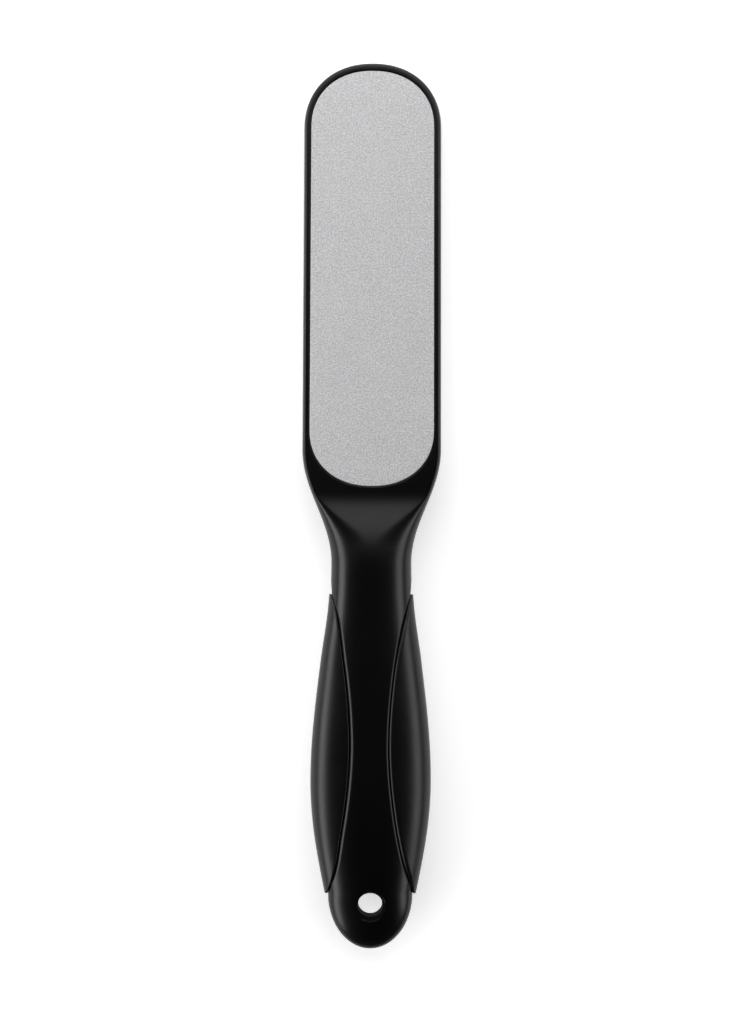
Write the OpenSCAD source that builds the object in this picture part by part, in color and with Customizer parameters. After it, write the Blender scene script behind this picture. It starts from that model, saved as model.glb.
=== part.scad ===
// Two-sided foot file. Two moulded shells make the paddle head and the handle, a soft
// grip sits in a seat on each side of the handle, and an abrasive plate is bonded into
// a shallow recess on each face of the head.
// The origin is the middle of the tool's length, on the plane where the shells meet.
// +X is to the right, +Y runs towards the head and +Z faces the fine plate's side.

/* [Overall] */
// Length from the tail's end to the head's tip
tool_len = 255; // [225:1:290]

/* [Head] */
// Length from the tip to where the shoulders start
head_len = 111.2; // [95:0.1:125]
// Width at the shoulders, where the head is widest
head_w = 40; // [34:0.5:48]
// Width where the round tip starts
tip_w = 39.5; // [33:0.1:47]
// Length of the round tip
tip_len = 18.75; // [15:0.25:22]
// Thickness of the head without its plates
head_t = 7; // [6:0.1:9]
// Reach of the rounded edge in from the side
edge_round = 1.4; // [1:0.05:1.7]

/* [Neck] */
// Width at the narrowest place
neck_w = 23.1; // [19:0.1:27]
// Thickness at the narrowest place
neck_t = 14; // [11:0.1:16]
// Length over which the shoulders narrow into the neck
shoulder_len = 32.4; // [26:0.1:40]
// Distance from the shoulders' start to where the faces begin to rise
rise_gap = 12; // [10:0.5:14]
// Length over which the faces rise from the head to the neck
rise_len = 16; // [14:0.5:18]

/* [Handle] */
// Width of the body at the belly, without the grips
belly_w = 32.9; // [29:0.1:39]
// Thickness of the body at the belly
belly_t = 15.6; // [14.6:0.1:20]
// Distance of the belly from the tail's end
belly_at = 48.4; // [42:0.2:56]
// Width of the tail
tail_w = 24.4; // [20:0.2:29]
// Thickness that the faces run down to at the tail's end
tail_t = 6.2; // [5:0.1:8]
// Length of the round tail
tail_len = 16; // [14:0.5:19]

/* [Hang hole] */
// Diameter of the hole
hole_d = 7.2; // [4:0.1:8]
// Distance of its centre from the tail's end
hole_at = 13; // [11:0.1:15]
// Radius of the rounding at its mouths
hole_lip = 1.7; // [0.6:0.1:2]

/* [Plates] */
// Length of a plate
plate_len = 119.1; // [100:0.1:122]
// Length of a plate's round ends
plate_end_len = 16.2; // [12:0.1:19]
// Thickness of a plate
plate_t = 0.5; // [0.3:0.05:0.8]
// Height of a plate above the rim
plate_proud = 0.2; // [0:0.05:0.4]
// Width of the rim beside a plate
rim_w = 2.15; // [1.9:0.05:3]
// Width of the rim at the tip
tip_rim_w = 2.55; // [2:0.05:3.5]
// Gap between a plate and the rim
plate_gap = 0.15; // [0.05:0.05:0.3]
// Width of the bevel round a plate's recess
rim_bevel = 0.2; // [0.1:0.02:0.22]
// Thickness of the adhesive film
film_t = 0.2; // [0.1:0.05:0.4]
// Distance of the film's edge in from the plate's edge
film_inset = 0.8; // [0.4:0.1:2]

/* [Grips] */
// Distance of the grips' lower tips from the tail's end
grip_at = 16.2; // [16:0.1:18]
// Length of a grip
grip_len = 86; // [78:0.5:90]
// Depth of the seat that a grip fills
grip_t = 1.6; // [1.2:0.1:2]
// Height of a grip above the body
grip_proud = 0.95; // [0.6:0.05:1.1]
// Height of a grip above the body at its upper tip
tip_proud = 0.35; // [0.25:0.05:0.5]
// Length over which the grip falls to that height
fade_len = 20; // [14:0.5:26]
// Width of the body's face between the grips at its narrowest
land_w = 10.4; // [9:0.2:14]
// Width of the groove along a grip's edge
seam_gap = 0.25; // [0.15:0.05:0.4]
// Clearance under a grip
seat_gap = 0.1; // [0.05:0.05:0.2]
// Radius of the rounding along a grip's edge
grip_edge = 0.5; // [0.2:0.05:0.6]
// Width of a grip's blunt tips
grip_tip = 0.8; // [0.7:0.05:0.9]
// Length over which a seat runs out of the body's side beyond a grip's tip
run_out = 5; // [3:0.5:6]

/* [Shell insides] */
// Wall under the grips
wall_t = 1.8; // [1.4:0.1:2.2]
// Thickness of the ribs between the bays
rib_t = 1.6; // [1.2:0.1:2.4]
// Number of hollow bays in the handle
bays = 5; // [4:1:6]
// Diameter of a locating pin
pin_d = 2.4; // [2:0.1:3]
// Height of a locating pin
pin_h = 1.5; // [1:0.1:1.8]
// Clearance round a locating pin
pin_gap = 0.1; // [0.05:0.05:0.2]
// Number of lugs that key a grip into its seat
lugs_n = 3; // [2:1:4]
// Length of a lug
lug_len = 8; // [5:0.5:9]
// Height of a lug
lug_h = 3; // [2:0.1:4]

/* [Hidden] */

// Places along the tool, measured from the tail's end
tip_at = tool_len - tip_len;
shoulder_at = tool_len - head_len;
neck_at = shoulder_at - shoulder_len;
rise_at = shoulder_at - rise_gap;
plate_at = tool_len - tip_rim_w - plate_len;
grip_end = grip_at + grip_len;
land_at = (grip_at + grip_end) / 2;

// Overrun of every cut
over = 1;
// Squareness of the round ends and of the head's edge, where 2 would be an ellipse
end_power = 2.17;
edge_power = 2.9;
// Share of the handle's half width that its rounded side takes up
oval_share = 0.92;
// Share of an end's length that the crest line runs into it
crest_share = 0.25;
// Powers and share that set how a seam bends away to its tips
seam_power = 1.8;
seam_hook_power = 8;
seam_hook_share = 0.12;
// Distance of the hollow from the body's surface
hollow_in = grip_t + seat_gap + wall_t;
// Ends of the hollow, measured from the tail's end
hollow_from = hole_at + hole_d / 2 + 3 * wall_t;
hollow_to = neck_at - 3 * wall_t;
bay_len = (hollow_to - hollow_from - (bays - 1) * rib_t) / bays;
bay_step = bay_len + rib_t;
// Locating pins: their distances from the tail's end, and how far out from the middle
// they stand as shares of the half width there
pins_at = [hole_at - hole_lip, neck_at + pin_d, shoulder_at + 4 * pin_d, tip_at - 5 * pin_d];
pins_out_shares = [0.66, 0, 0.7, 0.7];

// Counts of steps in the outline and across the surface
end_steps = 8;
handle_steps = 20;
shoulder_steps = 12;
head_steps = 3;
side_steps = 7;
grip_steps = 26;
seat_steps = 8;
bay_steps = 3;
$fn = 48;

// Smooth step from 0 to 1 with level ends
function ease(u) = (1 - cos(180 * min(max(u, 0), 1))) / 2;
function mix(a, b, u) = a + (b - a) * u;

// Half width of the body at the distance s from the tail's end, between the round ends
function half_w(s) =
    s < belly_at ? mix(tail_w, belly_w, sin(90 * (s - tail_len) / (belly_at - tail_len))) / 2 :
    s < neck_at ? mix(belly_w, neck_w, ease((s - belly_at) / (neck_at - belly_at))) / 2 :
    s < shoulder_at ? mix(neck_w, head_w, ease((s - neck_at) / shoulder_len)) / 2 :
    mix(head_w, tip_w, (s - shoulder_at) / (tip_at - shoulder_at)) / 2;

// Half thickness of the body at its crest
function half_t(s) =
    s < belly_at ? mix(tail_t, belly_t, sin(90 * s / belly_at)) / 2 :
    s < rise_at - rise_len ?
        mix(belly_t, neck_t, ease((s - belly_at) / (rise_at - rise_len - belly_at))) / 2 :
    mix(neck_t, head_t, rise(s)) / 2;

// Reach of the rounded side in from the edge, where the body is r from edge to crest, and
// its squareness. Both change from the handle's to the head's where the faces rise.
function rise(s) = ease((s - rise_at + rise_len) / rise_len);
function side_reach(s, r) = mix(oval_share * r, edge_round, rise(s));
function side_power(s) = mix(2, edge_power, rise(s));

// Outline of the body's right side from the tail to the tip. Each entry holds the
// edge's x, its distance from the tail's end and that of the crest point it belongs to.
function round_end(a) = [pow(cos(a), 2 / end_power), pow(sin(a), 2 / end_power)];
function spread(from, to, steps) =
    [for (i = [1 : steps]) let (s = mix(from, to, i / steps)) [half_w(s), s, s]];
function tail_end() = [for (i = [0 : end_steps]) let (a = 90 * i / end_steps)
    [tail_w / 2 * sin(a), tail_len * (1 - cos(a)), tail_len * (1 - crest_share * cos(a))]];
function head_end() = [for (i = [1 : end_steps]) let (e = round_end(90 * i / end_steps))
    [tip_w / 2 * e[0], tip_at + tip_len * e[1], tip_at + crest_share * tip_len * e[1]]];
edge_line = concat(tail_end(), spread(tail_len, neck_at, handle_steps),
    spread(neck_at, shoulder_at, shoulder_steps), spread(shoulder_at, tip_at, head_steps),
    head_end());

// Points of the body's upper surface, from the edge up the rounded side to the crest
function skin_point(e, j) =
    let (r = norm([e[0], e[1] - e[2]]), a = 90 * j / side_steps,
        power = 2 / side_power(e[1]),
        u = j > side_steps ? 1 : side_reach(e[1], r) * (1 - pow(cos(a), power)) / r,
        s = mix(e[1], e[2], u))
    [e[0] * (1 - u), s - tool_len / 2, half_t(s) * (j > side_steps ? 1 : pow(sin(a), power))];

// One half of the body above the plane z = 0
module body_half() {
    n = len(edge_line) - 1;
    m = side_steps + 1;
    right = [for (i = [0 : n]) for (j = [0 : m]) skin_point(edge_line[i], j)];
    left = [for (i = [1 : n - 1]) for (j = [0 : m - 1])
        let (p = skin_point(edge_line[i], j)) [-p[0], p[1], p[2]]];
    function at_right(i, j) = i * (m + 1) + j;
    function at_left(i, j) = i == 0 || i == n || j == m ? at_right(i, j) :
        (n + 1) * (m + 1) + (i - 1) * m + j;
    skin = [for (i = [0 : n - 1]) for (j = [0 : m - 1]) each [
        [at_right(i, j), at_right(i, j + 1), at_right(i + 1, j + 1)],
        [at_right(i, j), at_right(i + 1, j + 1), at_right(i + 1, j)],
        [at_left(i, j), at_left(i + 1, j + 1), at_left(i, j + 1)],
        [at_left(i, j), at_left(i + 1, j), at_left(i + 1, j + 1)]]];
    base = [for (i = [1 : n - 2])
        [at_right(i, 0), at_right(i + 1, 0), at_left(i + 1, 0), at_left(i, 0)]];
    ends = [[at_right(0, 0), at_right(1, 0), at_left(1, 0)],
        [at_right(n, 0), at_left(n - 1, 0), at_right(n - 1, 0)]];
    polyhedron(concat(right, left), concat(skin, base, ends));
}

// Closed solid through a list of rings with equally many points, each [x, y, z], which
// run anticlockwise seen from the tail. Its faces above and below the plane z = 0 split
// alike, and its ends are fans from each ring's first point.
module loft(rings) {
    n = len(rings) - 1;
    m = len(rings[0]);
    sides = [for (i = [0 : n - 1]) for (j = [0 : m - 1])
        let (k = (j + 1) % m, a = i * m + j, b = i * m + k, c = b + m, d = a + m)
        each rings[i][j][2] + rings[i][k][2] > 0 ? [[a, b, c], [a, c, d]] :
            [[a, b, d], [b, c, d]]];
    first = [concat([0], [for (j = [m - 1 : -1 : 1]) j])];
    last = [[for (j = [0 : m - 1]) n * m + j]];
    polyhedron([for (r = rings) each r], concat(sides, first, last));
}

// Height and half width of the handle's surface, moved out by off
function skin_z(s, x, off) =
    let (w = half_w(s), reach = side_reach(s, w) + off, q = (w + off - x) / reach)
    q <= 0 ? 0 : (half_t(s) + off) * (q >= 1 ? 1 : sqrt(1 - pow(1 - q, 2)));
function skin_x(s, z, off) =
    let (w = half_w(s), reach = side_reach(s, w) + off,
        q = min(abs(z) / (half_t(s) + off), 1))
    w + off - reach * (1 - sqrt(1 - q * q));

// Height of a grip above the body
function proud(s) =
    mix(grip_proud, tip_proud, ease((s - grip_end + fade_len) / fade_len));

// Distance of a grip's seam from the middle of the face
function seam(s) =
    let (end = s < land_at ? grip_at : grip_end,
        u = abs((s - land_at) / (end - land_at)),
        bend = mix(pow(u, seam_power), pow(u, seam_hook_power), seam_hook_share))
    mix(land_w / 2, half_w(end) + proud(end) - grip_tip, bend);

// Inner side of a grip or of its seat: a run of points from the front seam to the rear
// one, on the surface moved in by deep, or straight down where the seam lies further out
function floor_run(s, x0, deep, top) =
    let (z0 = max(skin_z(s, x0, -deep), top / 2))
    [for (k = [0 : seat_steps]) let (z = z0 * (1 - 2 * k / seat_steps))
        [max(x0, skin_x(s, z, -deep)), s - tool_len / 2, z]];

// Section of the right grip, round from its outermost point
function grip_ring(s) =
    let (x0 = seam(s), y = s - tool_len / 2, off = proud(s), w = half_w(s) + off,
        z0 = skin_z(s, x0, off), r = min(grip_edge, (w - x0) / 3, z0 / 3),
        z1 = skin_z(s, x0 + r, off), reach = side_reach(s, half_w(s)) + off,
        a = acos(1 - (w - x0 - r) / reach), soft = 0.3 * r,
        front = [for (k = [0 : seat_steps]) let (b = a * k / seat_steps)
            [w - reach * (1 - cos(b)), y, (half_t(s) + off) * sin(b)]],
        rear = [for (k = [seat_steps : -1 : 1]) [front[k][0], y, -front[k][2]]])
    concat(front, [[x0 + soft, y, z1 - soft], [x0, y, z1 - r]],
        floor_run(s, x0, grip_t, z0 - r),
        [[x0, y, r - z1], [x0 + soft, y, soft - z1]], rear);

module grip_solid() {
    loft([for (i = [0 : grip_steps]) grip_ring(mix(grip_at, grip_end, ease(i / grip_steps)))]);
}

// Section of the cut that leaves the seat of the right grip, from x0 outward
function seat_x(s) = seam(min(max(s, grip_at), grip_end)) - seam_gap;
function seat_ring(s, x0, top) =
    let (y = s - tool_len / 2, x1 = half_w(max(s, tail_len)) + over, z1 = half_t(s) + over)
    concat([[x1, y, z1], [x0, y, z1]], floor_run(s, x0, grip_t + seat_gap, top),
        [[x0, y, -z1], [x1, y, -z1]]);

// The cut is longer than the grip by the groove at its tips, and beyond them it slopes
// out through the body's side
module seat_cut() {
    function along(s) = seat_ring(s, seat_x(s), skin_z(s, seat_x(s), 0));
    function beyond(s, tip) =
        seat_ring(s, half_w(max(s, tail_len)) + seat_gap, skin_z(tip, seat_x(tip), 0));
    loft(concat([beyond(grip_at - run_out, grip_at), along(grip_at - seam_gap)],
        [for (i = [0 : grip_steps]) along(mix(grip_at, grip_end, ease(i / grip_steps)))],
        [along(grip_end + seam_gap), beyond(grip_end + run_out, grip_end)]));
}

// Lugs on the inside of the right grip, or with clear the windows that take them
module lugs(clear) {
    for (i = [1 : lugs_n])
        let (s = grip_at + grip_len * i / (lugs_n + 1),
            x0 = half_w(s) - hollow_in - wall_t / 2, x1 = half_w(s) - grip_t / 2)
        translate([x0 - clear, s - tool_len / 2 - lug_len / 2 - clear, -lug_h / 2 - clear])
            cube([x1 - x0 + clear, lug_len + 2 * clear, lug_h + 2 * clear]);
}

// Hollow bays of the handle, open at the plane where the shells meet
function bay_ring(s) = concat(
    [for (k = [0 : 2 * seat_steps]) let (a = 90 * k / seat_steps)
        [(half_w(s) - hollow_in) * cos(a), s - tool_len / 2, (half_t(s) - hollow_in) * sin(a)]],
    [[-half_w(s) + hollow_in, s - tool_len / 2, -over],
        [half_w(s) - hollow_in, s - tool_len / 2, -over]]);

module hollow() {
    for (i = [0 : bays - 1])
        let (from = hollow_from + i * bay_step)
        loft([for (k = [0 : bay_steps]) bay_ring(from + bay_len * k / bay_steps)]);
}

// Outline of a plate, moved in by inset
function plate_side(inset) = [for (i = [-end_steps : end_steps])
    let (e = round_end(90 * abs(i) / end_steps), top = i > 0,
        s = top ? tool_len - tip_rim_w - plate_end_len : plate_at + plate_end_len)
    [(half_w(s) - rim_w - inset) * e[0],
        s - tool_len / 2 + (top ? 1 : -1) * (plate_end_len - inset) * e[1]]];
module plate_outline(inset = 0) {
    side = plate_side(inset);
    polygon(concat(side, [for (i = [len(side) - 2 : -1 : 1]) [-side[i][0], side[i][1]]]));
}

// Bevel round the edge of a plate's recess, as a cut
function outline_ring(inset, z) = let (side = plate_side(inset))
    [for (i = [0 : 2 * len(side) - 3]) let (left = i >= len(side),
        p = side[left ? 2 * len(side) - 2 - i : i]) [left ? -p[0] : p[0], p[1], z]];
module bevel_cut() {
    loft([outline_ring(-plate_gap - rim_bevel - over, head_t / 2 + over),
        outline_ring(rim_bevel - plate_gap, head_t / 2 - 2 * rim_bevel)]);
}

// Upper half of the hang hole. Its rounded mouth is square to the sloping face.
module hole_cut() {
    crest = half_t(hole_at);
    slope = (half_t(hole_at + hole_d / 2) - half_t(hole_at - hole_d / 2)) / hole_d;
    translate([0, hole_at - tool_len / 2, 0]) {
        translate([0, 0, -over])
            cylinder(d = hole_d, h = crest + 2 * over);
        translate([0, 0, crest])
            rotate([atan(slope), 0, 0])
                translate([0, 0, -hole_lip])
                    rotate_extrude()
                        difference() {
                            square([hole_d / 2 + hole_lip, hole_lip + over]);
                            translate([hole_d / 2 + hole_lip, 0])
                                circle(r = hole_lip);
                        }
    }
}

// Locating pins, one on each side of the middle or one on it
module locating_pins(clear) {
    for (i = [0 : len(pins_at) - 1])
        for (side = pins_out_shares[i] > 0 ? [-1, 1] : [0])
            translate([side * pins_out_shares[i] * half_w(max(pins_at[i], tail_len)),
                pins_at[i] - tool_len / 2, -over])
                cylinder(d = pin_d + 2 * clear, h = pin_h + clear + over);
}

// What both shells share
module shell_half() {
    difference() {
        body_half();
        translate([0, 0, head_t / 2 + plate_proud - plate_t - film_t])
            linear_extrude(plate_t + over)
                plate_outline(-plate_gap);
        bevel_cut();
        for (side = [0, 1])
            mirror([side, 0, 0]) {
                seat_cut();
                lugs(seat_gap);
            }
        hollow();
        hole_cut();
    }
}

module front_shell() {
    color("#161618")
        difference() {
            shell_half();
            locating_pins(pin_gap);
        }
}

module rear_shell() {
    color("#161618")
        mirror([0, 0, 1])
            shell_half();
    color("#161618")
        intersection() {
            locating_pins(0);
            translate([-head_w / 2, -tool_len / 2, -over / 2])
                cube([head_w, tool_len, head_t]);
        }
}

module right_grip() {
    color("#1d1d1f") {
        grip_solid();
        lugs(0);
    }
}

module left_grip() {
    mirror([1, 0, 0])
        right_grip();
}

module front_plate() {
    color("#b9babc")
        translate([0, 0, head_t / 2 + plate_proud - plate_t])
            linear_extrude(plate_t)
                plate_outline();
}

module rear_plate() {
    mirror([0, 0, 1])
        front_plate();
}

module front_adhesive() {
    color("#d8cfae")
        translate([0, 0, head_t / 2 + plate_proud - plate_t - film_t])
            linear_extrude(film_t)
                plate_outline(film_inset);
}

module rear_adhesive() {
    mirror([0, 0, 1])
        front_adhesive();
}

front_shell();
rear_shell();
left_grip();
right_grip();
front_plate();
rear_plate();
front_adhesive();
rear_adhesive();
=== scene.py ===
import math
import bpy
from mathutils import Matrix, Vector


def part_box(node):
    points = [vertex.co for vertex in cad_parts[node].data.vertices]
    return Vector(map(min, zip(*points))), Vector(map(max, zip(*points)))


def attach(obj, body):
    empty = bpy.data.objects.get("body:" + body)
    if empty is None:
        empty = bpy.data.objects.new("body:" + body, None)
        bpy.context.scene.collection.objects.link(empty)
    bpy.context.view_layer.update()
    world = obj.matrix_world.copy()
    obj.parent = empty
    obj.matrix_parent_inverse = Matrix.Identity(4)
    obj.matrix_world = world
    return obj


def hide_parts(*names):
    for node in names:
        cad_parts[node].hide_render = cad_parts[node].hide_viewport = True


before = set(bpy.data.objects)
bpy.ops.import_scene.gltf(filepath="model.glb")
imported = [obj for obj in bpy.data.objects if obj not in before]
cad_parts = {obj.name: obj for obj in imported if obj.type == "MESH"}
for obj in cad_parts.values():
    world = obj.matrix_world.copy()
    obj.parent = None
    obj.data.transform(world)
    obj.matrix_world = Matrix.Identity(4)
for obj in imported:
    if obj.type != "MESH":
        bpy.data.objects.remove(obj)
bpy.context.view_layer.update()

mm = 0.001
tiny = 0.0001              # a share or an angle this small counts as none
print("frame loaded:", ", ".join(sorted(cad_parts)))


def boxMm(node):
    return [[value / mm for value in corner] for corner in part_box(node)]


# Small helpers

def mix(a, b, share):
    return a + (b - a) * share


def ease(share):
    return (1 - math.cos(math.pi * min(max(share, 0), 1))) / 2


def sinDeg(angle):
    return math.sin(math.radians(angle))


def cosDeg(angle):
    return math.cos(math.radians(angle))


def linear(hexColour):  # sRGB hex to the linear colour that the shaders take
    parts = [int(hexColour[i:i + 2], 16) / 255 for i in (1, 3, 5)]
    return [c / 12.92 if c <= 0.04045 else ((c + 0.055) / 1.055) ** 2.4 for c in parts] + [1]


def addNode(tree, kind, inputs=None, **settings):
    node = tree.nodes.new(kind)
    for name, value in settings.items():
        setattr(node, name, value)
    for name, value in (inputs or {}).items():
        source = value.outputs[0] if isinstance(value, bpy.types.Node) else value
        if isinstance(source, bpy.types.NodeSocket):
            tree.links.new(source, node.inputs[name])
        else:
            node.inputs[name].default_value = source
    return node


def meshPiece(name, points, faces, creaseAngle=35):  # points in millimetres
    mesh = bpy.data.meshes.new(name)
    mesh.from_pydata([[c * mm for c in p] for p in points], [], faces)
    mesh.validate()
    mesh.shade_smooth()
    mesh.set_sharp_from_angle(angle=math.radians(creaseAngle))
    piece = bpy.data.objects.new(name, mesh)
    bpy.context.scene.collection.objects.link(piece)
    return piece


def loft(name, rings):
    # rings of equally many points, anticlockwise seen from the first ring's side
    count = len(rings[0])
    faces = [[i * count + j, (i + 1) * count + j,
              (i + 1) * count + (j + 1) % count, i * count + (j + 1) % count]
             for i in range(len(rings) - 1) for j in range(count)]
    faces.append(list(range(count)))
    faces.append([len(rings) * count - 1 - j for j in range(count)])
    return meshPiece(name, [p for ring in rings for p in ring], faces)


def finished(piece, name, creaseAngle=35):
    # the evaluated result of a piece's node tree as a plain mesh of its own
    graph = bpy.context.evaluated_depsgraph_get()
    mesh = bpy.data.meshes.new_from_object(piece.evaluated_get(graph))
    bpy.data.objects.remove(piece)
    mesh.name = name
    mesh.shade_smooth()
    mesh.set_sharp_from_angle(angle=math.radians(creaseAngle))
    plain = bpy.data.objects.new(name, mesh)
    bpy.context.scene.collection.objects.link(plain)
    return plain


def runTree(piece, tree, values):
    # a modifier's inputs are set by socket identifier, before its first evaluation
    modifier = piece.modifiers.new(tree.name, "NODES")
    modifier.node_group = tree
    for socket in tree.interface.items_tree:
        if socket.in_out == "INPUT" and socket.name in values:
            modifier[socket.identifier] = values[socket.name]


# The body's rule. Sizes are in millimetres, and s is the distance from the tail's end.

shellLow, shellHigh = boxMm("front_shell")
body = {
    "length": shellHigh[1] - shellLow[1],
    "headWidth": shellHigh[0] - shellLow[0],
    "headLength": 111.2,
    "tipWidth": 39.5,
    "tipLength": 18.75,
    "headThick": 7,
    "edgeRound": 1.4,        # reach of the head's rounded edge
    "edgePower": 2.9,        # squareness of that edge, where 2 would be an ellipse
    "neckWidth": 23.1,
    "neckThick": 14,
    "shoulderLength": 32.4,
    "riseGap": 12,           # from the shoulders' start to where the faces begin to rise
    "rampLength": 24,        # over which they rise, steepest a third of the way down
    "ovalLength": 16,        # over which the head's square section turns into the neck's oval
    "bellyWidth": 32.9,
    "bellyThick": 15.6,
    "bellyAt": 48.4,
    "tailWidth": 24.4,
    "tailThick": 6.2,
    "tailLength": 16,
    "ovalShare": 0.92,       # share of the half width that the rounded side takes up
    "crestShare": 0.25,      # share of an end's length that the crest runs into it
    "endPower": 2.17,        # squareness of the head's round end
    "partingBreak": 0.12,    # moulded edge break along the line where the shells meet
    "weldGap": 0.002,        # points of the two grids that are closer than this become one
    "stepsAcross": 40,
    "roundedShare": 0.8,     # share of those steps on the rounded side
    "edgeCrowding": 1.4,     # how much they crowd towards the parting line
    "stepsAlong": {"tail": 26, "handle": 130, "shoulder": 56, "head": 30, "tip": 40},
}
halfLength = body["length"] / 2
tipAt = body["length"] - body["tipLength"]
shoulderAt = body["length"] - body["headLength"]
neckAt = shoulderAt - body["shoulderLength"]
riseAt = shoulderAt - body["riseGap"]
ovalAt = riseAt - body["ovalLength"]


def halfWidth(s):
    tail, belly = body["tailWidth"] / 2, body["bellyWidth"] / 2
    neck, head, tip = body["neckWidth"] / 2, body["headWidth"] / 2, body["tipWidth"] / 2
    if s < body["bellyAt"]:
        run = (s - body["tailLength"]) / (body["bellyAt"] - body["tailLength"])
        return mix(tail, belly, sinDeg(90 * run))
    if s < neckAt:
        return mix(belly, neck, ease((s - body["bellyAt"]) / (neckAt - body["bellyAt"])))
    if s < shoulderAt:
        return mix(neck, head, ease((s - neckAt) / body["shoulderLength"]))
    return mix(head, tip, (s - shoulderAt) / (tipAt - shoulderAt))


def halfThick(s):
    tail, belly = body["tailThick"] / 2, body["bellyThick"] / 2
    neck, head = body["neckThick"] / 2, body["headThick"] / 2
    if s < body["bellyAt"]:
        return mix(tail, belly, sinDeg(90 * s / body["bellyAt"]))
    handle = mix(belly, neck, ease((s - body["bellyAt"]) / (ovalAt - body["bellyAt"])))
    run = min(max((riseAt - s) / body["rampLength"], 0), 1)
    return mix(handle, head, (1 - run) ** 3 * (1 + 3 * run))


def headShare(s):  # of the section: 0 on the oval handle, 1 on the square head
    return ease((s - ovalAt) / body["ovalLength"])


def sideReach(s, run):  # how far the rounded side reaches in along a run from edge to crest
    return mix(body["ovalShare"] * run, body["edgeRound"], headShare(s))


def skinHeight(s, x, out=0):  # height of the skin, moved out by out, at x
    width = halfWidth(s) + out
    reach = sideReach(s, halfWidth(s)) + out
    share = (width - x) / reach
    if share <= 0:
        return 0
    return (halfThick(s) + out) * (1 if share >= 1 else math.sqrt(1 - (1 - share) ** 2))


def skinSide(s, z, out=0):  # x of the skin, moved out by out, at height z
    reach = sideReach(s, halfWidth(s)) + out
    share = min(abs(z) / (halfThick(s) + out), 1)
    return halfWidth(s) + out - reach * (1 - math.sqrt(1 - share * share))


def skinTilt(s, x):  # lean of the skin's normal out from straight up, in radians
    reach = sideReach(s, halfWidth(s))
    cosine = min(max(1 - (halfWidth(s) - x) / reach, 0), 1 - tiny)
    return math.atan2(cosine / reach, math.sqrt(1 - cosine * cosine) / halfThick(s))


def roundEnd(angle):
    power = 2 / body["endPower"]
    return max(cosDeg(angle), 0) ** power, sinDeg(angle) ** power


def bodyStations():
    # each station is an edge point's x and s, and the s of the crest point that it runs to
    steps = body["stepsAlong"]
    stations = []
    for i in range(steps["tail"] + 1):
        a = 90 * i / steps["tail"]
        stations.append([body["tailWidth"] / 2 * sinDeg(a), body["tailLength"] * (1 - cosDeg(a)),
                         body["tailLength"] * (1 - body["crestShare"] * cosDeg(a))])
    stretches = [(body["tailLength"], neckAt, "handle"), (neckAt, shoulderAt, "shoulder"),
                 (shoulderAt, tipAt, "head")]
    for start, end, name in stretches:
        for i in range(steps[name]):
            s = mix(start, end, (i + 1) / steps[name])
            stations.append([halfWidth(s), s, s])
    for i in range(steps["tip"]):
        across, along = roundEnd(90 * (i + 1) / steps["tip"])
        stations.append([body["tipWidth"] / 2 * across, tipAt + body["tipLength"] * along,
                         tipAt + body["crestShare"] * body["tipLength"] * along])
    return stations


# Cutters for what is let into the shells

hole = {
    "at": 13,                # from the tail's end
    "radius": 3.6,
    "waist": 3.42,           # the core pins of the two halves taper, so it has a waist where they met
    "lip": 1.7,              # rounding of its mouths
    "lipTurn": 82,           # angle through which a mouth is rounded
    "dullShare": 0.45,       # share of the lip's reach that keeps the bore's dull finish
    "brimReach": 2,          # of the cutter above the mouth, in lips
    "brimFoot": 0.16,        # height above the face at which that brim starts, in lips
    "over": 1,               # how far the cutter passes the parting plane
    "sides": 96,
    "steps": 10,
}

plateLow, plateHigh = boxMm("front_plate")
filmLow = boxMm("front_adhesive")[0]
plate = {
    "from": plateLow[1] + halfLength,
    "to": plateHigh[1] + halfLength,
    "top": plateHigh[2],
    "bottom": plateLow[2],
    "recessFloor": filmLow[2],
    "endLength": 16.2,
    "rimWidth": 2.15,
    "gap": 0.15,             # between the plate and the rim
    "lip": 0.3,              # rounding of the rim's inner edge
    "lipTurn": 80,           # angle through which that edge is rounded
    "brimReach": 0.4,        # of the cutter above the recess
    "brimFoot": 0.06,        # height above the face at which that brim starts
    "edge": 0.25,            # rounding of the stamped plate's bare edge
    "endSteps": 40,
    "sideSteps": 24,
    "edgeSteps": 5,
}

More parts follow.
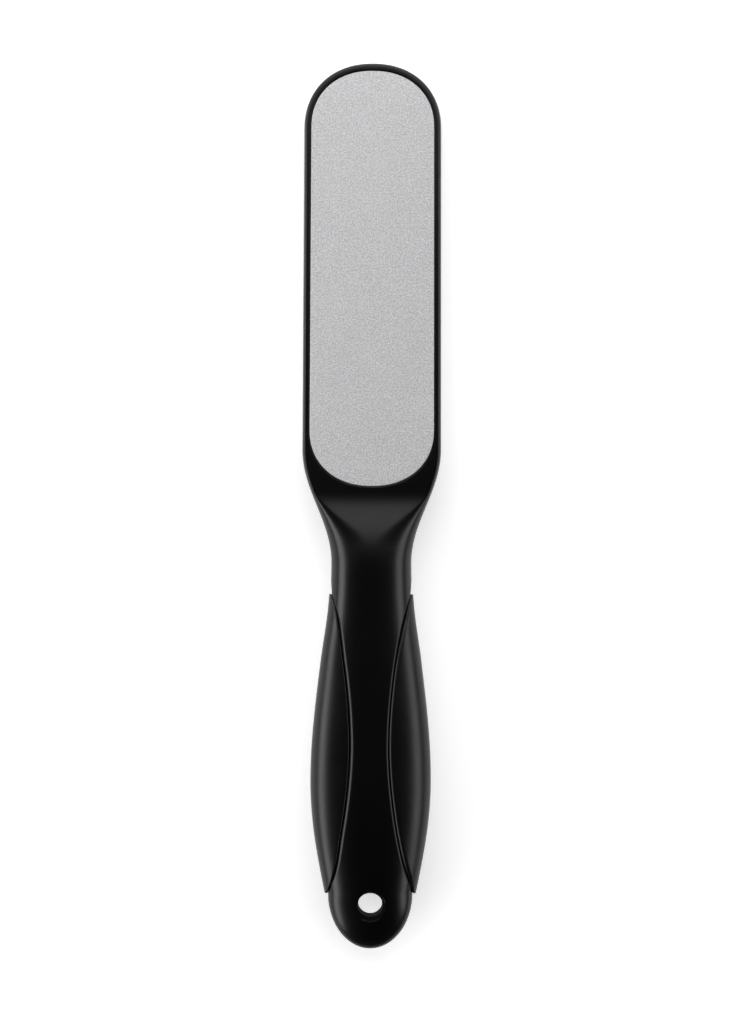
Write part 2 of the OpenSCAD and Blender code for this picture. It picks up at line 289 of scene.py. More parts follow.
gripLow, gripHigh = boxMm("right_grip")
grip = {
    "from": gripLow[1] + halfLength,
    "to": gripHigh[1] + halfLength,
    "depth": 1.6,            # of its inner side below the body's skin
    "proud": 0.95,           # of its outer side above it
    "tipProud": 0.35,        # at the upper tip
    "fadeLength": 20,        # over which the grip falls to that height
    "landWidth": 10.4,       # of the body's face between the grips, at its narrowest
    "clearance": 0.1,        # under it
    "seamDrop": 0.066,       # fall towards the seam, as a share of the grip's width there
    "seamDropMost": 0.85,    # and at most this share of its height above the body
    "dropPower": 2.2,        # how late that fall sets in
    # no two grips seat quite alike: the left one sits a little lower and further out. Edge and
    # landRoll are the radii over which the grip and the body's face roll down to the groove.
    "left": {"outward": 1.0, "sunk": 0.45, "groove": 0.4, "edge": 0.4, "landRoll": 1.8},
    "right": {"outward": 0, "sunk": 0, "groove": 0.18, "edge": 1.2, "landRoll": 1.1},
    "grooveAtTip": 0.06,
    "grooveFade": 8,         # over which the groove closes to that at a grip's tips
    "tip": 0.8,              # width of its blunt tips
    "runOut": 5,             # over which a seat runs out of the side beyond a tip
    "power": 1.8,            # how late the seam bends out towards the tips
    "hookPower": 8,          # and how late the last, sharper bend begins
    "hookShare": 0.12,       # share of the whole bend that this last one makes
    "rollLean": 55,          # lean at which a rolled edge ends in the groove's wall
    "edgeParts": 3,          # an edge's radius is at most one part of so many of width or height
    "slopeSample": 0.97,     # share of the way to the edge where the outer side's slope is taken
    "slopeRounds": 3,        # of finding where the edge's roll starts
    "landRollMost": 0.35,    # share of the skin's height that the land's roll may take
    "landLeanAt": 0.7,       # share of that roll's radius in from the seam where the lean is taken
    "landLeanMost": 72,
    "landTurnLeast": 18,     # angle through which the land's roll turns at least
    "landCutIn": 6,          # angle at which the cutter dips into the land
    "over": 1,               # how far the seats' cutters stand clear of the skin
    "stepsAlong": 180,
    "stepsRound": 26,
    "stepsFloor": 16,
    "edgeSteps": 6,
}


def plateOutline(inset):  # right side up, then left side down
    low, high = plate["from"] + plate["endLength"], plate["to"] - plate["endLength"]
    side = []
    for i in range(plate["endSteps"] + 1):
        across, along = roundEnd(90 - 90 * i / plate["endSteps"])
        side.append([across, low - (plate["endLength"] - inset) * along])
    for i in range(1, plate["sideSteps"]):
        side.append([1, mix(low, high, i / plate["sideSteps"])])
    for i in range(plate["endSteps"] + 1):
        across, along = roundEnd(90 * i / plate["endSteps"])
        side.append([across, high + (plate["endLength"] - inset) * along])
    side = [[(halfWidth(min(max(s, shoulderAt), tipAt)) - plate["rimWidth"] - inset) * across,
             s - halfLength] for across, s in side]
    return side + [[-x, y] for x, y in side[-2:0:-1]]


def outlineRing(inset, z):
    return [[x, y, z] for x, y in plateOutline(inset)]


def recessCutter():
    top, lip = body["headThick"] / 2, plate["lip"]
    rings = [outlineRing(-plate["gap"] - lip - plate["brimReach"], top + plate["brimFoot"])]
    for i in range(plate["edgeSteps"] + 1):
        a = plate["lipTurn"] * (1 - i / plate["edgeSteps"])
        rings.append(outlineRing(-plate["gap"] - lip * (1 - cosDeg(a)), top - lip * (1 - sinDeg(a))))
    rings.append(outlineRing(-plate["gap"], plate["recessFloor"]))
    return loft("recess cutter", rings)


def holeCutter():
    r, lip, over, at = hole["radius"], hole["lip"], hole["over"], hole["at"]
    crest = halfThick(at)
    slope = math.atan2(halfThick(at + r) - halfThick(at - r), 2 * r)

    def ring(radius, height, tilt):
        points = []
        for i in range(hole["sides"]):
            a = -2 * math.pi * i / hole["sides"]
            x, y = radius * math.cos(a), radius * math.sin(a)
            points.append([x, at - halfLength + y * math.cos(tilt) - height * math.sin(tilt),
                           crest + y * math.sin(tilt) + height * math.cos(tilt)])
        return points
    rings = [ring(hole["waist"], -crest - over, 0), ring(hole["waist"], -crest, 0)]
    for i in range(hole["steps"] + 1):
        a = hole["lipTurn"] * i / hole["steps"]
        rings.append(ring(r + lip * (1 - cosDeg(a)), lip * (sinDeg(a) - 1), slope))
    for height in (hole["brimFoot"], hole["brimReach"]):
        rings.append(ring(r + lip * hole["brimReach"], lip * height, slope))
    return loft("hole cutter", rings)


def proud(s):  # height of a grip above the body
    return mix(grip["proud"], grip["tipProud"],
               ease((s - grip["to"] + grip["fadeLength"]) / grip["fadeLength"]))


def seam(s):  # distance of a grip's seam from the middle of the face
    middle = (grip["from"] + grip["to"]) / 2
    end = grip["from"] if s < middle else grip["to"]
    u = abs((s - middle) / (end - middle))
    bend = mix(u ** grip["power"], u ** grip["hookPower"], grip["hookShare"])
    return mix(grip["landWidth"] / 2, halfWidth(end) + proud(end) - grip["tip"], bend)


def grooveWidth(s, seat):
    fromTip = min(s - grip["from"], grip["to"] - s)
    return mix(grip["grooveAtTip"], seat["groove"], ease(fromTip / grip["grooveFade"]))


def grown(s):  # 0 at a grip's tips, 1 along its middle
    return ease(min(s - grip["from"], grip["to"] - s) / grip["fadeLength"])


def floorRun(s, x0, depth, top):  # inner side of a grip or its seat, front seam to rear seam
    z0 = max(skinHeight(s, x0, -depth), top / 2)
    run = []
    for k in range(grip["stepsFloor"] + 1):
        z = z0 * (1 - 2 * k / grip["stepsFloor"])
        run.append([max(x0, skinSide(s, z, -depth)), s - halfLength, z])
    return run


def mirrored(points):  # the same run on the rear side, in reverse
    return [[x, y, -z] for x, y, z in reversed(points)]


def gripRing(s, seat):
    x0, y, out = seam(s) + seat["outward"] * grown(s), s - halfLength, proud(s)
    wide = halfWidth(s) + out - x0
    low = out - min(grip["seamDrop"] * wide, grip["seamDropMost"] * out) - seat["sunk"] * grown(s)
    r = min(seat["edge"], wide / grip["edgeParts"], skinHeight(s, x0, low) / grip["edgeParts"])
    end = math.radians(grip["rollLean"])

    def outerPoint(last, share):  # from the grip's widest point to the last angle round it
        above = mix(out, low, share ** grip["dropPower"])
        reach = sideReach(s, halfWidth(s)) + above
        return [halfWidth(s) + above - reach * (1 - cosDeg(last * share)), y,
                (halfThick(s) + above) * sinDeg(last * share)]

    tilt = 0
    for attempt in range(grip["slopeRounds"]):  # the roll starts flush with the outer surface
        px = x0 + r * (math.sin(end) + math.sin(tilt))
        cosine = 1 - (halfWidth(s) + low - px) / (sideReach(s, halfWidth(s)) + low)
        last = math.degrees(math.acos(min(max(cosine, -1), 1)))
        near, far = outerPoint(last, 1), outerPoint(last, grip["slopeSample"])
        tilt = math.atan2(near[2] - far[2], far[0] - near[0])
    outer = [outerPoint(last, k / grip["stepsRound"]) for k in range(grip["stepsRound"] + 1)]
    cx, cz = px - r * math.sin(tilt), outer[-1][2] - r * math.cos(tilt)
    rounding = []
    for k in range(1, grip["edgeSteps"] + 1):
        a = mix(tilt, -end, k / grip["edgeSteps"])
        rounding.append([cx + r * math.sin(a), y, cz + r * math.cos(a)])
    return (outer + rounding + floorRun(s, x0, grip["depth"], cz)
            + mirrored(rounding) + mirrored(outer[1:]))


def seatRing(s, seat):
    inside = min(max(s, grip["from"]), grip["to"])
    x0 = seam(inside) + seat["outward"] * grown(inside) - grooveWidth(inside, seat)
    y, outside = s - halfLength, halfWidth(s) + grip["over"]
    surface = skinHeight(s, x0)
    r = min(seat["landRoll"], surface * grip["landRollMost"])
    tilt = min(skinTilt(s, x0 - r * grip["landLeanAt"]), math.radians(grip["landLeanMost"]))
    end = max(math.radians(grip["rollLean"]), tilt + math.radians(grip["landTurnLeast"]))
    cx = x0 - r * math.sin(end)
    cz = skinHeight(s, cx + r * math.sin(tilt)) - r * math.cos(tilt)
    flare = tilt + math.radians(grip["landCutIn"])
    rounding = [[cx + r * math.sin(flare) - 2 * r * math.cos(flare), y,
                 cz + r * math.cos(flare) + 2 * r * math.sin(flare)]]
    for k in range(grip["edgeSteps"] + 1):
        a = mix(flare, end, k / grip["edgeSteps"])
        rounding.append([cx + r * math.sin(a), y, cz + r * math.cos(a)])
    high = max(halfThick(s), rounding[0][2]) + grip["over"]
    corner = [[outside, y, 0], [outside, y, high], [rounding[0][0], y, high]]
    return (corner + rounding + floorRun(s, x0, grip["depth"] + grip["clearance"], surface)
            + mirrored(rounding) + mirrored(corner[1:]))


def stationsAlong(low, high, steps):
    return [mix(low, high, ease(i / steps)) for i in range(steps + 1)]


def runOutRing(tipRing, tip, s):  # the tip's section again, but clear of the body's side
    clear = halfWidth(max(s, body["tailLength"])) + grip["clearance"]
    move = clear - (seam(tip) - grip["grooveAtTip"])
    return [[x + move, s - halfLength, z] for x, y, z in tipRing]


def seatCutter(name, side):
    low, high, beyond = grip["from"], grip["to"], grip["clearance"]
    along = [low - beyond] + stationsAlong(low, high, grip["stepsAlong"]) + [high + beyond]
    rings = [seatRing(s, grip["left" if side < 0 else "right"]) for s in along]
    rings.insert(0, runOutRing(rings[0], low, low - grip["runOut"]))
    rings.append(runOutRing(rings[-1], high, high + grip["runOut"]))
    if side < 0:
        rings = [[[-x, y, z] for x, y, z in reversed(ring)] for ring in rings]
    return loft(name, rings)


# Materials

def newMaterial(name):
    material = bpy.data.materials.new(name)
    material.use_nodes = True
    return material, material.node_tree, material.node_tree.nodes["Principled BSDF"]


noiseRange = [0.3, 0.7]      # between which nearly all of a noise's values lie

# ABS moulded in a lightly spark-eroded tool: a satin skin, with soft highlights that break
# up a little, and a few places polished by handling
satinAbs = {
    "name": "satin moulded ABS",
    "colour": "#030304",
    "grain": 0.35,           # sizes in mm
    "grainDetail": 2.0,
    "grainHeight": 0.02,
    "relief": 0.25,
    "patches": 22,
    "roughness": [0.27, 0.31],
}
# thermoplastic rubber moulded in a matte tool: darker, broader highlights than the body
matteTpe = {
    "name": "matte moulded TPE",
    "colour": "#040405",
    "grain": 0.45,
    "grainDetail": 3.0,
    "grainHeight": 0.03,
    "relief": 0.4,
    "patches": 14,
    "roughness": [0.3, 0.35],
}


def mouldedSkin(look):
    material, tree, shader = newMaterial(look["name"])
    place = addNode(tree, "ShaderNodeTexCoord").outputs["Object"]
    grain = addNode(tree, "ShaderNodeTexNoise", {"Vector": place, "Scale": 1 / (look["grain"] * mm),
                                                 "Detail": look["grainDetail"]})
    rubbed = addNode(tree, "ShaderNodeTexNoise", {"Vector": place, "Scale": 1 / (look["patches"] * mm),
                                                  "Detail": 3.0})
    satin = addNode(tree, "ShaderNodeMapRange", {"Value": rubbed.outputs["Fac"],
                                                 "From Min": noiseRange[0], "From Max": noiseRange[1],
                                                 "To Min": look["roughness"][0],
                                                 "To Max": look["roughness"][1]})
    relief = addNode(tree, "ShaderNodeBump", {"Height": grain.outputs["Fac"], "Strength": look["relief"],
                                              "Distance": look["grainHeight"] * mm})
    shader.inputs["Base Color"].default_value = linear(look["colour"])
    shader.inputs["IOR"].default_value = 1.5
    shader.inputs["Specular IOR Level"].default_value = 0.34
    tree.links.new(satin.outputs["Result"], shader.inputs["Roughness"])
    tree.links.new(relief.outputs["Normal"], shader.inputs["Normal"])
    return material


def coredAbs():
    # the same ABS where the hole's core pin was drawn out of it: dull, with hardly a gleam
    material, tree, shader = newMaterial("drawn ABS bore")
    place = addNode(tree, "ShaderNodeTexCoord").outputs["Object"]
    drag = addNode(tree, "ShaderNodeTexNoise", {"Vector": place, "Scale": 1 / (0.5 * mm), "Detail": 2.0})
    dull = addNode(tree, "ShaderNodeMapRange", {"Value": drag.outputs["Fac"], "To Min": 0.6,
                                                "To Max": 0.8})
    shader.inputs["Base Color"].default_value = linear("#030303")
    shader.inputs["Specular IOR Level"].default_value = 0.05
    tree.links.new(dull.outputs["Result"], shader.inputs["Roughness"])
    return material


# steel sheet with mineral grit bonded on under a nickel coat: a pale grey face, each grain a
# little lighter or darker than the next. The real grains, about 0.2 and 0.35 mm, are too fine
# to show in the render, so the specks and the grains of the mesh are drawn twice as coarse.
fineGrit = {"name": "fine bonded grit", "light": "#e4e4e5", "dark": "#a8a8aa", "speck": 0.45}
coarseGrit = {"name": "coarse bonded grit", "light": "#dedee0", "dark": "#98989b", "speck": 0.7}
gritCoat = {
    "speckSize": 0.9,        # of the speck named above
    "speckRange": [0.34, 0.66],
    "cloudSize": 9,          # of the coat's uneven places, in mm
    "toneShare": 0.4,        # how much each grain's own tone counts
    "cloudShare": 0.1,
    "speckShare": 0.58,
}


def gritFinish(look):
    material, tree, shader = newMaterial(look["name"])
    place = addNode(tree, "ShaderNodeTexCoord").outputs["Object"]
    tone = addNode(tree, "ShaderNodeAttribute", attribute_name="grainTone")
    cloud = addNode(tree, "ShaderNodeTexNoise", {"Vector": place, "Detail": 4.0,
                                                 "Scale": 1 / (gritCoat["cloudSize"] * mm)})
    across = gritCoat["speckSize"] * look["speck"] * mm
    speck = addNode(tree, "ShaderNodeTexNoise", {"Vector": place, "Scale": 1 / across, "Detail": 1.0})
    low, high = gritCoat["speckRange"]
    speck = addNode(tree, "ShaderNodeMapRange", {"Value": speck, "From Min": low, "From Max": high})
    blend = 0.0
    for part, share in [(tone.outputs["Fac"], "toneShare"), (cloud.outputs["Fac"], "cloudShare"),
                        (speck.outputs["Result"], "speckShare")]:
        blend = addNode(tree, "ShaderNodeMath", {0: part, 1: gritCoat[share], 2: blend},
                        operation="MULTIPLY_ADD")
    colour = addNode(tree, "ShaderNodeMix", {"Factor": blend, "A": linear(look["dark"]),
                                             "B": linear(look["light"])}, data_type="RGBA")
    tree.links.new(colour.outputs["Result"], shader.inputs["Base Color"])
    shader.inputs["Metallic"].default_value = 0.1
    shader.inputs["Roughness"].default_value = 0.55
    return material


def adhesiveFilm():
    # acrylic transfer adhesive, cast on a liner: clear, pale and slightly uneven
    material, tree, shader = newMaterial("cast acrylic adhesive")
    place = addNode(tree, "ShaderNodeTexCoord").outputs["Object"]
    ripple = addNode(tree, "ShaderNodeTexNoise", {"Vector": place, "Scale": 1 / (3 * mm), "Detail": 2.0})
    colour = addNode(tree, "ShaderNodeMix", {"Factor": ripple.outputs["Fac"], "A": linear("#cfc6a4"),
                                             "B": linear("#ddd5b8")}, data_type="RGBA")
    tree.links.new(colour.outputs["Result"], shader.inputs["Base Color"])
    shader.inputs["Roughness"].default_value = 0.3
    return material


absFinish = mouldedSkin(satinAbs)
boreFinish = coredAbs()
tpeFinish = mouldedSkin(matteTpe)
fineFinish = gritFinish(fineGrit)
coarseFinish = gritFinish(coarseGrit)
filmFinish = adhesiveFilm()
print("materials made")


# The moulded shells: a node tree lays sections on the stations and cuts the seats

def shellTree():
    tree = bpy.data.node_groups.new("moulded shell", "GeometryNodeTree")
    for name, kind in [("Geometry", "NodeSocketGeometry"), ("Steps Across", "NodeSocketInt"),
                       ("Rounded Share", "NodeSocketFloat"), ("Side", "NodeSocketFloat"),
                       ("Edge Crowding", "NodeSocketFloat"), ("Parting Break", "NodeSocketFloat"),
                       ("Weld Gap", "NodeSocketFloat"), ("Recess Cutter", "NodeSocketObject"),
                       ("Hole Cutter", "NodeSocketObject"), ("Left Seat Cutter", "NodeSocketObject"),
                       ("Right Seat Cutter", "NodeSocketObject"), ("Finish", "NodeSocketMaterial"),
                       ("Hole Place", "NodeSocketVector"), ("Bore Radius", "NodeSocketFloat"),
                       ("Bore Finish", "NodeSocketMaterial")]:
        tree.interface.new_socket(name=name, in_out="INPUT", socket_type=kind)
    tree.interface.new_socket(name="Geometry", in_out="OUTPUT", socket_type="NodeSocketGeometry")
    given = addNode(tree, "NodeGroupInput").outputs
    stations = given["Geometry"]
    rows = addNode(tree, "GeometryNodeAttributeDomainSize", {"Geometry": stations}).outputs["Point Count"]
    steps = given["Steps Across"]
    columns = addNode(tree, "ShaderNodeMath", {0: steps, 1: 2.0, 2: 1.0}, operation="MULTIPLY_ADD")
    grid = addNode(tree, "GeometryNodeMeshGrid", {"Vertices X": rows, "Vertices Y": columns})
    index = addNode(tree, "GeometryNodeInputIndex")
    ratio = addNode(tree, "ShaderNodeMath", {0: index, 1: columns}, operation="DIVIDE")
    row = addNode(tree, "ShaderNodeMath", {0: ratio}, operation="FLOOR")
    column = addNode(tree, "ShaderNodeMath", {0: index, 1: columns}, operation="MODULO")
    # across runs from -1 at the left edge to 1 at the right edge
    across = addNode(tree, "ShaderNodeMath", {0: column, 1: steps}, operation="DIVIDE")
    across = addNode(tree, "ShaderNodeMath", {0: across, 1: 1.0}, operation="SUBTRACT")
    side = addNode(tree, "ShaderNodeMath", {0: across}, operation="SIGN")
    fromEdge = addNode(tree, "ShaderNodeMath", {0: across}, operation="ABSOLUTE")
    fromEdge = addNode(tree, "ShaderNodeMath", {0: 1.0, 1: fromEdge}, operation="SUBTRACT")
    angle = addNode(tree, "ShaderNodeMath", {0: fromEdge, 1: given["Rounded Share"]}, operation="DIVIDE")
    angle = addNode(tree, "ShaderNodeMath", {0: angle, 1: 1.0}, operation="MINIMUM")
    angle = addNode(tree, "ShaderNodeMath", {0: angle, 1: given["Edge Crowding"]}, operation="POWER")
    angle = addNode(tree, "ShaderNodeMath", {0: angle, 1: math.pi / 2}, operation="MULTIPLY")
    flat = addNode(tree, "ShaderNodeMapRange", {"Value": fromEdge, "From Min": given["Rounded Share"],
                                                "From Max": 1.0, "To Min": 0.0, "To Max": 1.0})
    # edge holds x, y and half thickness at the edge; crest holds reach share, y and half thickness
    edgePlace = addNode(tree, "GeometryNodeInputPosition")
    edge = addNode(tree, "GeometryNodeSampleIndex", {"Geometry": stations, "Value": edgePlace,
                                                     "Index": row}, data_type="FLOAT_VECTOR")
    crestPlace = addNode(tree, "GeometryNodeInputNamedAttribute", {"Name": "crest"},
                         data_type="FLOAT_VECTOR")
    crest = addNode(tree, "GeometryNodeSampleIndex", {"Geometry": stations, "Value": crestPlace,
                                                      "Index": row}, data_type="FLOAT_VECTOR")
    edge = addNode(tree, "ShaderNodeSeparateXYZ", {"Vector": edge}).outputs
    crest = addNode(tree, "ShaderNodeSeparateXYZ", {"Vector": crest}).outputs
    squareness = addNode(tree, "GeometryNodeInputNamedAttribute", {"Name": "squareness"}, data_type="FLOAT")
    squareness = addNode(tree, "GeometryNodeSampleIndex", {"Geometry": stations, "Value": squareness,
                                                           "Index": row}, data_type="FLOAT")
    cosine = addNode(tree, "ShaderNodeMath", {0: angle}, operation="COSINE")
    cosine = addNode(tree, "ShaderNodeMath", {0: cosine, 1: 0.0}, operation="MAXIMUM")
    cosine = addNode(tree, "ShaderNodeMath", {0: cosine, 1: squareness}, operation="POWER")
    sine = addNode(tree, "ShaderNodeMath", {0: angle}, operation="SINE")
    sine = addNode(tree, "ShaderNodeMath", {0: sine, 1: squareness}, operation="POWER")
    inward = addNode(tree, "ShaderNodeMath", {0: 1.0, 1: cosine}, operation="SUBTRACT")
    inward = addNode(tree, "ShaderNodeMath", {0: inward, 1: crest["X"]}, operation="MULTIPLY")
    inward = addNode(tree, "ShaderNodeMapRange", {"Value": flat, "From Min": 0.0, "From Max": 1.0,
                                                  "To Min": inward, "To Max": 1.0})
    # the lowest row is drawn in a little, which leaves a fine groove where the shells meet
    run = addNode(tree, "ShaderNodeMath", {0: edge["Y"], 1: crest["Y"]}, operation="SUBTRACT")
    run = addNode(tree, "ShaderNodeCombineXYZ", {"X": edge["X"], "Y": run})
    run = addNode(tree, "ShaderNodeVectorMath", {0: run}, operation="LENGTH").outputs["Value"]
    drawnIn = addNode(tree, "ShaderNodeMath", {0: given["Parting Break"], 1: run}, operation="DIVIDE")
    lowest = addNode(tree, "ShaderNodeMath", {0: angle, 1: tiny}, operation="LESS_THAN")
    onSkin = addNode(tree, "ShaderNodeMath", {0: drawnIn, 1: lowest, 2: inward}, operation="MULTIPLY_ADD")
    onFace = addNode(tree, "ShaderNodeMath", {0: drawnIn, 1: inward}, operation="MAXIMUM")
    # the parting face is the same grid laid flat
    halves = []
    for inward, height in [(onSkin, sine), (onFace, 0.0)]:
        ends = [(edge["X"], 0.0), (edge["Y"], crest["Y"]), (edge["Z"], crest["Z"])]
        x, y, z = [addNode(tree, "ShaderNodeMapRange", {"Value": inward, "To Min": start, "To Max": end})
                   for start, end in ends]
        x = addNode(tree, "ShaderNodeMath", {0: x, 1: side}, operation="MULTIPLY")
        z = addNode(tree, "ShaderNodeMath", {0: z, 1: height}, operation="MULTIPLY")
        place = addNode(tree, "ShaderNodeCombineXYZ", {"X": x, "Y": y, "Z": z})
        halves.append(addNode(tree, "GeometryNodeSetPosition", {"Geometry": grid, "Position": place}))
    skin = addNode(tree, "GeometryNodeFlipFaces", {"Mesh": halves[0]})
    half = addNode(tree, "GeometryNodeJoinGeometry", {"Geometry": skin})
    tree.links.new(halves[1].outputs[0], half.inputs["Geometry"])
    half = addNode(tree, "GeometryNodeMergeByDistance", {"Geometry": half, "Distance": given["Weld Gap"]})
    for name in ["Left Seat Cutter", "Right Seat Cutter", "Recess Cutter", "Hole Cutter"]:
        cutter = addNode(tree, "GeometryNodeObjectInfo", {"Object": given[name]}).outputs["Geometry"]
        half = addNode(tree, "GeometryNodeMeshBoolean", {"Mesh 1": half, "Mesh 2": cutter},
                       operation="DIFFERENCE", solver="EXACT")
    # the rear shell is the front one mirrored
    turned = addNode(tree, "ShaderNodeCombineXYZ", {"X": 1.0, "Y": 1.0, "Z": given["Side"]})
    half = addNode(tree, "GeometryNodeTransform", {"Geometry": half, "Scale": turned})
    back = addNode(tree, "FunctionNodeCompare", {"A": given["Side"], "B": 0.0}, operation="LESS_THAN")
    half = addNode(tree, "GeometryNodeFlipFaces", {"Mesh": half, "Selection": back})
    whole = addNode(tree, "GeometryNodeRealizeInstances", {"Geometry": half})
    whole = addNode(tree, "GeometryNodeSetMaterial", {"Geometry": whole, "Material": given["Finish"]})
    # the hang hole's wall keeps the core pin's own finish
    place = addNode(tree, "ShaderNodeVectorMath", {0: addNode(tree, "GeometryNodeInputPosition"),
                                                   1: given["Hole Place"]}, operation="SUBTRACT")
    place = addNode(tree, "ShaderNodeVectorMath", {0: place, 1: (1, 1, 0)}, operation="MULTIPLY")
    fromAxis = addNode(tree, "ShaderNodeVectorMath", {0: place}, operation="LENGTH").outputs["Value"]
    bore = addNode(tree, "FunctionNodeCompare", {"A": fromAxis, "B": given["Bore Radius"]},
                   operation="LESS_THAN")
    whole = addNode(tree, "GeometryNodeSetMaterial", {"Geometry": whole, "Selection": bore,
                                                      "Material": given["Bore Finish"]})
    addNode(tree, "NodeGroupOutput", {"Geometry": whole})
    return tree


def stationMesh():
    stations = bodyStations()
    points = [[x, s - halfLength, halfThick(s)] for x, s, crest in stations]
    piece = meshPiece("stations", points, [])
    piece.data.attributes.new("crest", "FLOAT_VECTOR", "POINT")
    piece.data.attributes.new("squareness", "FLOAT", "POINT")
    crests, squareness = [piece.data.attributes[name].data for name in ("crest", "squareness")]
    for i, (x, s, crest) in enumerate(stations):
        run = math.hypot(x, s - crest)
        crests[i].vector = [sideReach(s, run) / run, (crest - halfLength) * mm,
                            halfThick(crest) * mm]
        squareness[i].value = 2 / mix(2, body["edgePower"], headShare(s))
    return piece


cutters = {
    "Left Seat Cutter": seatCutter("left seat cutter", -1),
    "Right Seat Cutter": seatCutter("right seat cutter", 1),
    "Recess Cutter": recessCutter(),
    "Hole Cutter": holeCutter(),
}
shellNodes = shellTree()
shells = {}
for name, side in [("front_shell", 1), ("rear_shell", -1)]:
    stations = stationMesh()
    runTree(stations, shellNodes, {"Steps Across": body["stepsAcross"],
                                   "Rounded Share": body["roundedShare"],
                                   "Edge Crowding": body["edgeCrowding"],
                                   "Parting Break": body["partingBreak"] * mm,
                                   "Weld Gap": body["weldGap"] * mm, "Side": side, "Finish": absFinish,
                                   "Hole Place": (0, (hole["at"] - halfLength) * mm, 0),
                                   "Bore Radius": (hole["radius"] + hole["lip"] * hole["dullShare"]) * mm,
                                   "Bore Finish": boreFinish, **cutters})
    shells[name] = finished(stations, name + "_moulding")
    print(name, "moulded:", len(shells[name].data.polygons), "faces")
for cutter in cutters.values():
    bpy.data.objects.remove(cutter)


# The grips

def gripPiece(name, side):
    along = stationsAlong(grip["from"], grip["to"], grip["stepsAlong"])
    rings = [gripRing(s, grip["left" if side < 0 else "right"]) for s in along]
    if side < 0:
        rings = [[[-x, y, z] for x, y, z in reversed(ring)] for ring in rings]
    piece = loft(name, rings)
    piece.data.materials.append(tpeFinish)
    return piece


grips = {"left_grip": gripPiece("left_grip_moulding", -1),
         "right_grip": gripPiece("right_grip_moulding", 1)}
print("grips moulded")


# The plates

def plateBlank(name, side):
    top, bottom, edge = plate["top"], plate["bottom"], plate["edge"]
    rings = []
    for i in range(plate["edgeSteps"] + 1):
        a = 90 * i / plate["edgeSteps"]
        rings.append(outlineRing(edge * (1 - sinDeg(a)), top - edge * (1 - cosDeg(a))))
    rings.append(outlineRing(0, bottom))
    if side < 0:
        rings = [[[x, y, -z] for x, y, z in reversed(ring)] for ring in rings]
    return loft(name, rings)


grain = {
    "least": 0.6,            # sizes run from this to most, as shares of the grain size
    "most": 1.2,
    "sunk": 0.3,             # so that only the crowns stand out of the nickel
    "segments": 4,
    "rings": 2,
    "upright": 0.99,         # grains lie only where the face's normal is this near to straight out
}


def gritTree():
    tree = bpy.data.node_groups.new("bonded grit", "GeometryNodeTree")
    for name, kind in [("Geometry", "NodeSocketGeometry"), ("Grain Size", "NodeSocketFloat"),
                       ("Grains per Area", "NodeSocketFloat"), ("Side", "NodeSocketFloat"),
                       ("Seed", "NodeSocketInt"), ("Finish", "NodeSocketMaterial")]:
        tree.interface.new_socket(name=name, in_out="INPUT", socket_type=kind)
    tree.interface.new_socket(name="Geometry", in_out="OUTPUT", socket_type="NodeSocketGeometry")
    given = addNode(tree, "NodeGroupInput").outputs
    normal = addNode(tree, "GeometryNodeInputNormal")
    normal = addNode(tree, "ShaderNodeSeparateXYZ", {"Vector": normal}).outputs["Z"]
    facing = addNode(tree, "ShaderNodeMath", {0: normal, 1: given["Side"]}, operation="MULTIPLY")
    face = addNode(tree, "FunctionNodeCompare", {"A": facing, "B": grain["upright"]},
                   operation="GREATER_THAN")
    points = addNode(tree, "GeometryNodeDistributePointsOnFaces",
                     {"Mesh": given["Geometry"], "Selection": face, "Density": given["Grains per Area"],
                      "Seed": given["Seed"]})
    crystal = addNode(tree, "GeometryNodeMeshUVSphere", {"Segments": grain["segments"],
                                                         "Rings": grain["rings"], "Radius": 0.5})
    turn = addNode(tree, "FunctionNodeRandomValue",
                   {"Max": (math.tau, math.tau, math.tau), "Seed": given["Seed"]}, data_type="FLOAT_VECTOR")
    size = addNode(tree, "FunctionNodeRandomValue",
                   {"Min": grain["least"], "Max": grain["most"], "Seed": given["Seed"]}, data_type="FLOAT")
    scale = addNode(tree, "ShaderNodeMath", {0: size.outputs[1], 1: given["Grain Size"]},
                    operation="MULTIPLY")
    grains = addNode(tree, "GeometryNodeInstanceOnPoints", {"Points": points, "Instance": crystal,
                                                            "Rotation": turn, "Scale": scale})
    tone = addNode(tree, "FunctionNodeRandomValue", {"Seed": given["Seed"]}, data_type="FLOAT")
    grains = addNode(tree, "GeometryNodeStoreNamedAttribute", {"Geometry": grains, "Name": "grainTone",
                                                               "Value": tone.outputs[1]},
                     data_type="FLOAT", domain="INSTANCE")
    grains = addNode(tree, "GeometryNodeRealizeInstances", {"Geometry": grains})
    grains = addNode(tree, "GeometryNodeSetShadeSmooth", {"Geometry": grains, "Shade Smooth": False})
    sink = addNode(tree, "ShaderNodeMath", {0: given["Grain Size"], 1: given["Side"]},
                   operation="MULTIPLY")
    sink = addNode(tree, "ShaderNodeMath", {0: sink, 1: -grain["sunk"]}, operation="MULTIPLY")
    sink = addNode(tree, "ShaderNodeCombineXYZ", {"Z": sink})
    grains = addNode(tree, "GeometryNodeTransform", {"Geometry": grains, "Translation": sink})
    whole = addNode(tree, "GeometryNodeJoinGeometry", {"Geometry": given["Geometry"]})
    tree.links.new(grains.outputs[0], whole.inputs["Geometry"])
    whole = addNode(tree, "GeometryNodeRealizeInstances", {"Geometry": whole})
    whole = addNode(tree, "GeometryNodeSetMaterial", {"Geometry": whole, "Material": given["Finish"]})
    addNode(tree, "NodeGroupOutput", {"Geometry": whole})
    return tree


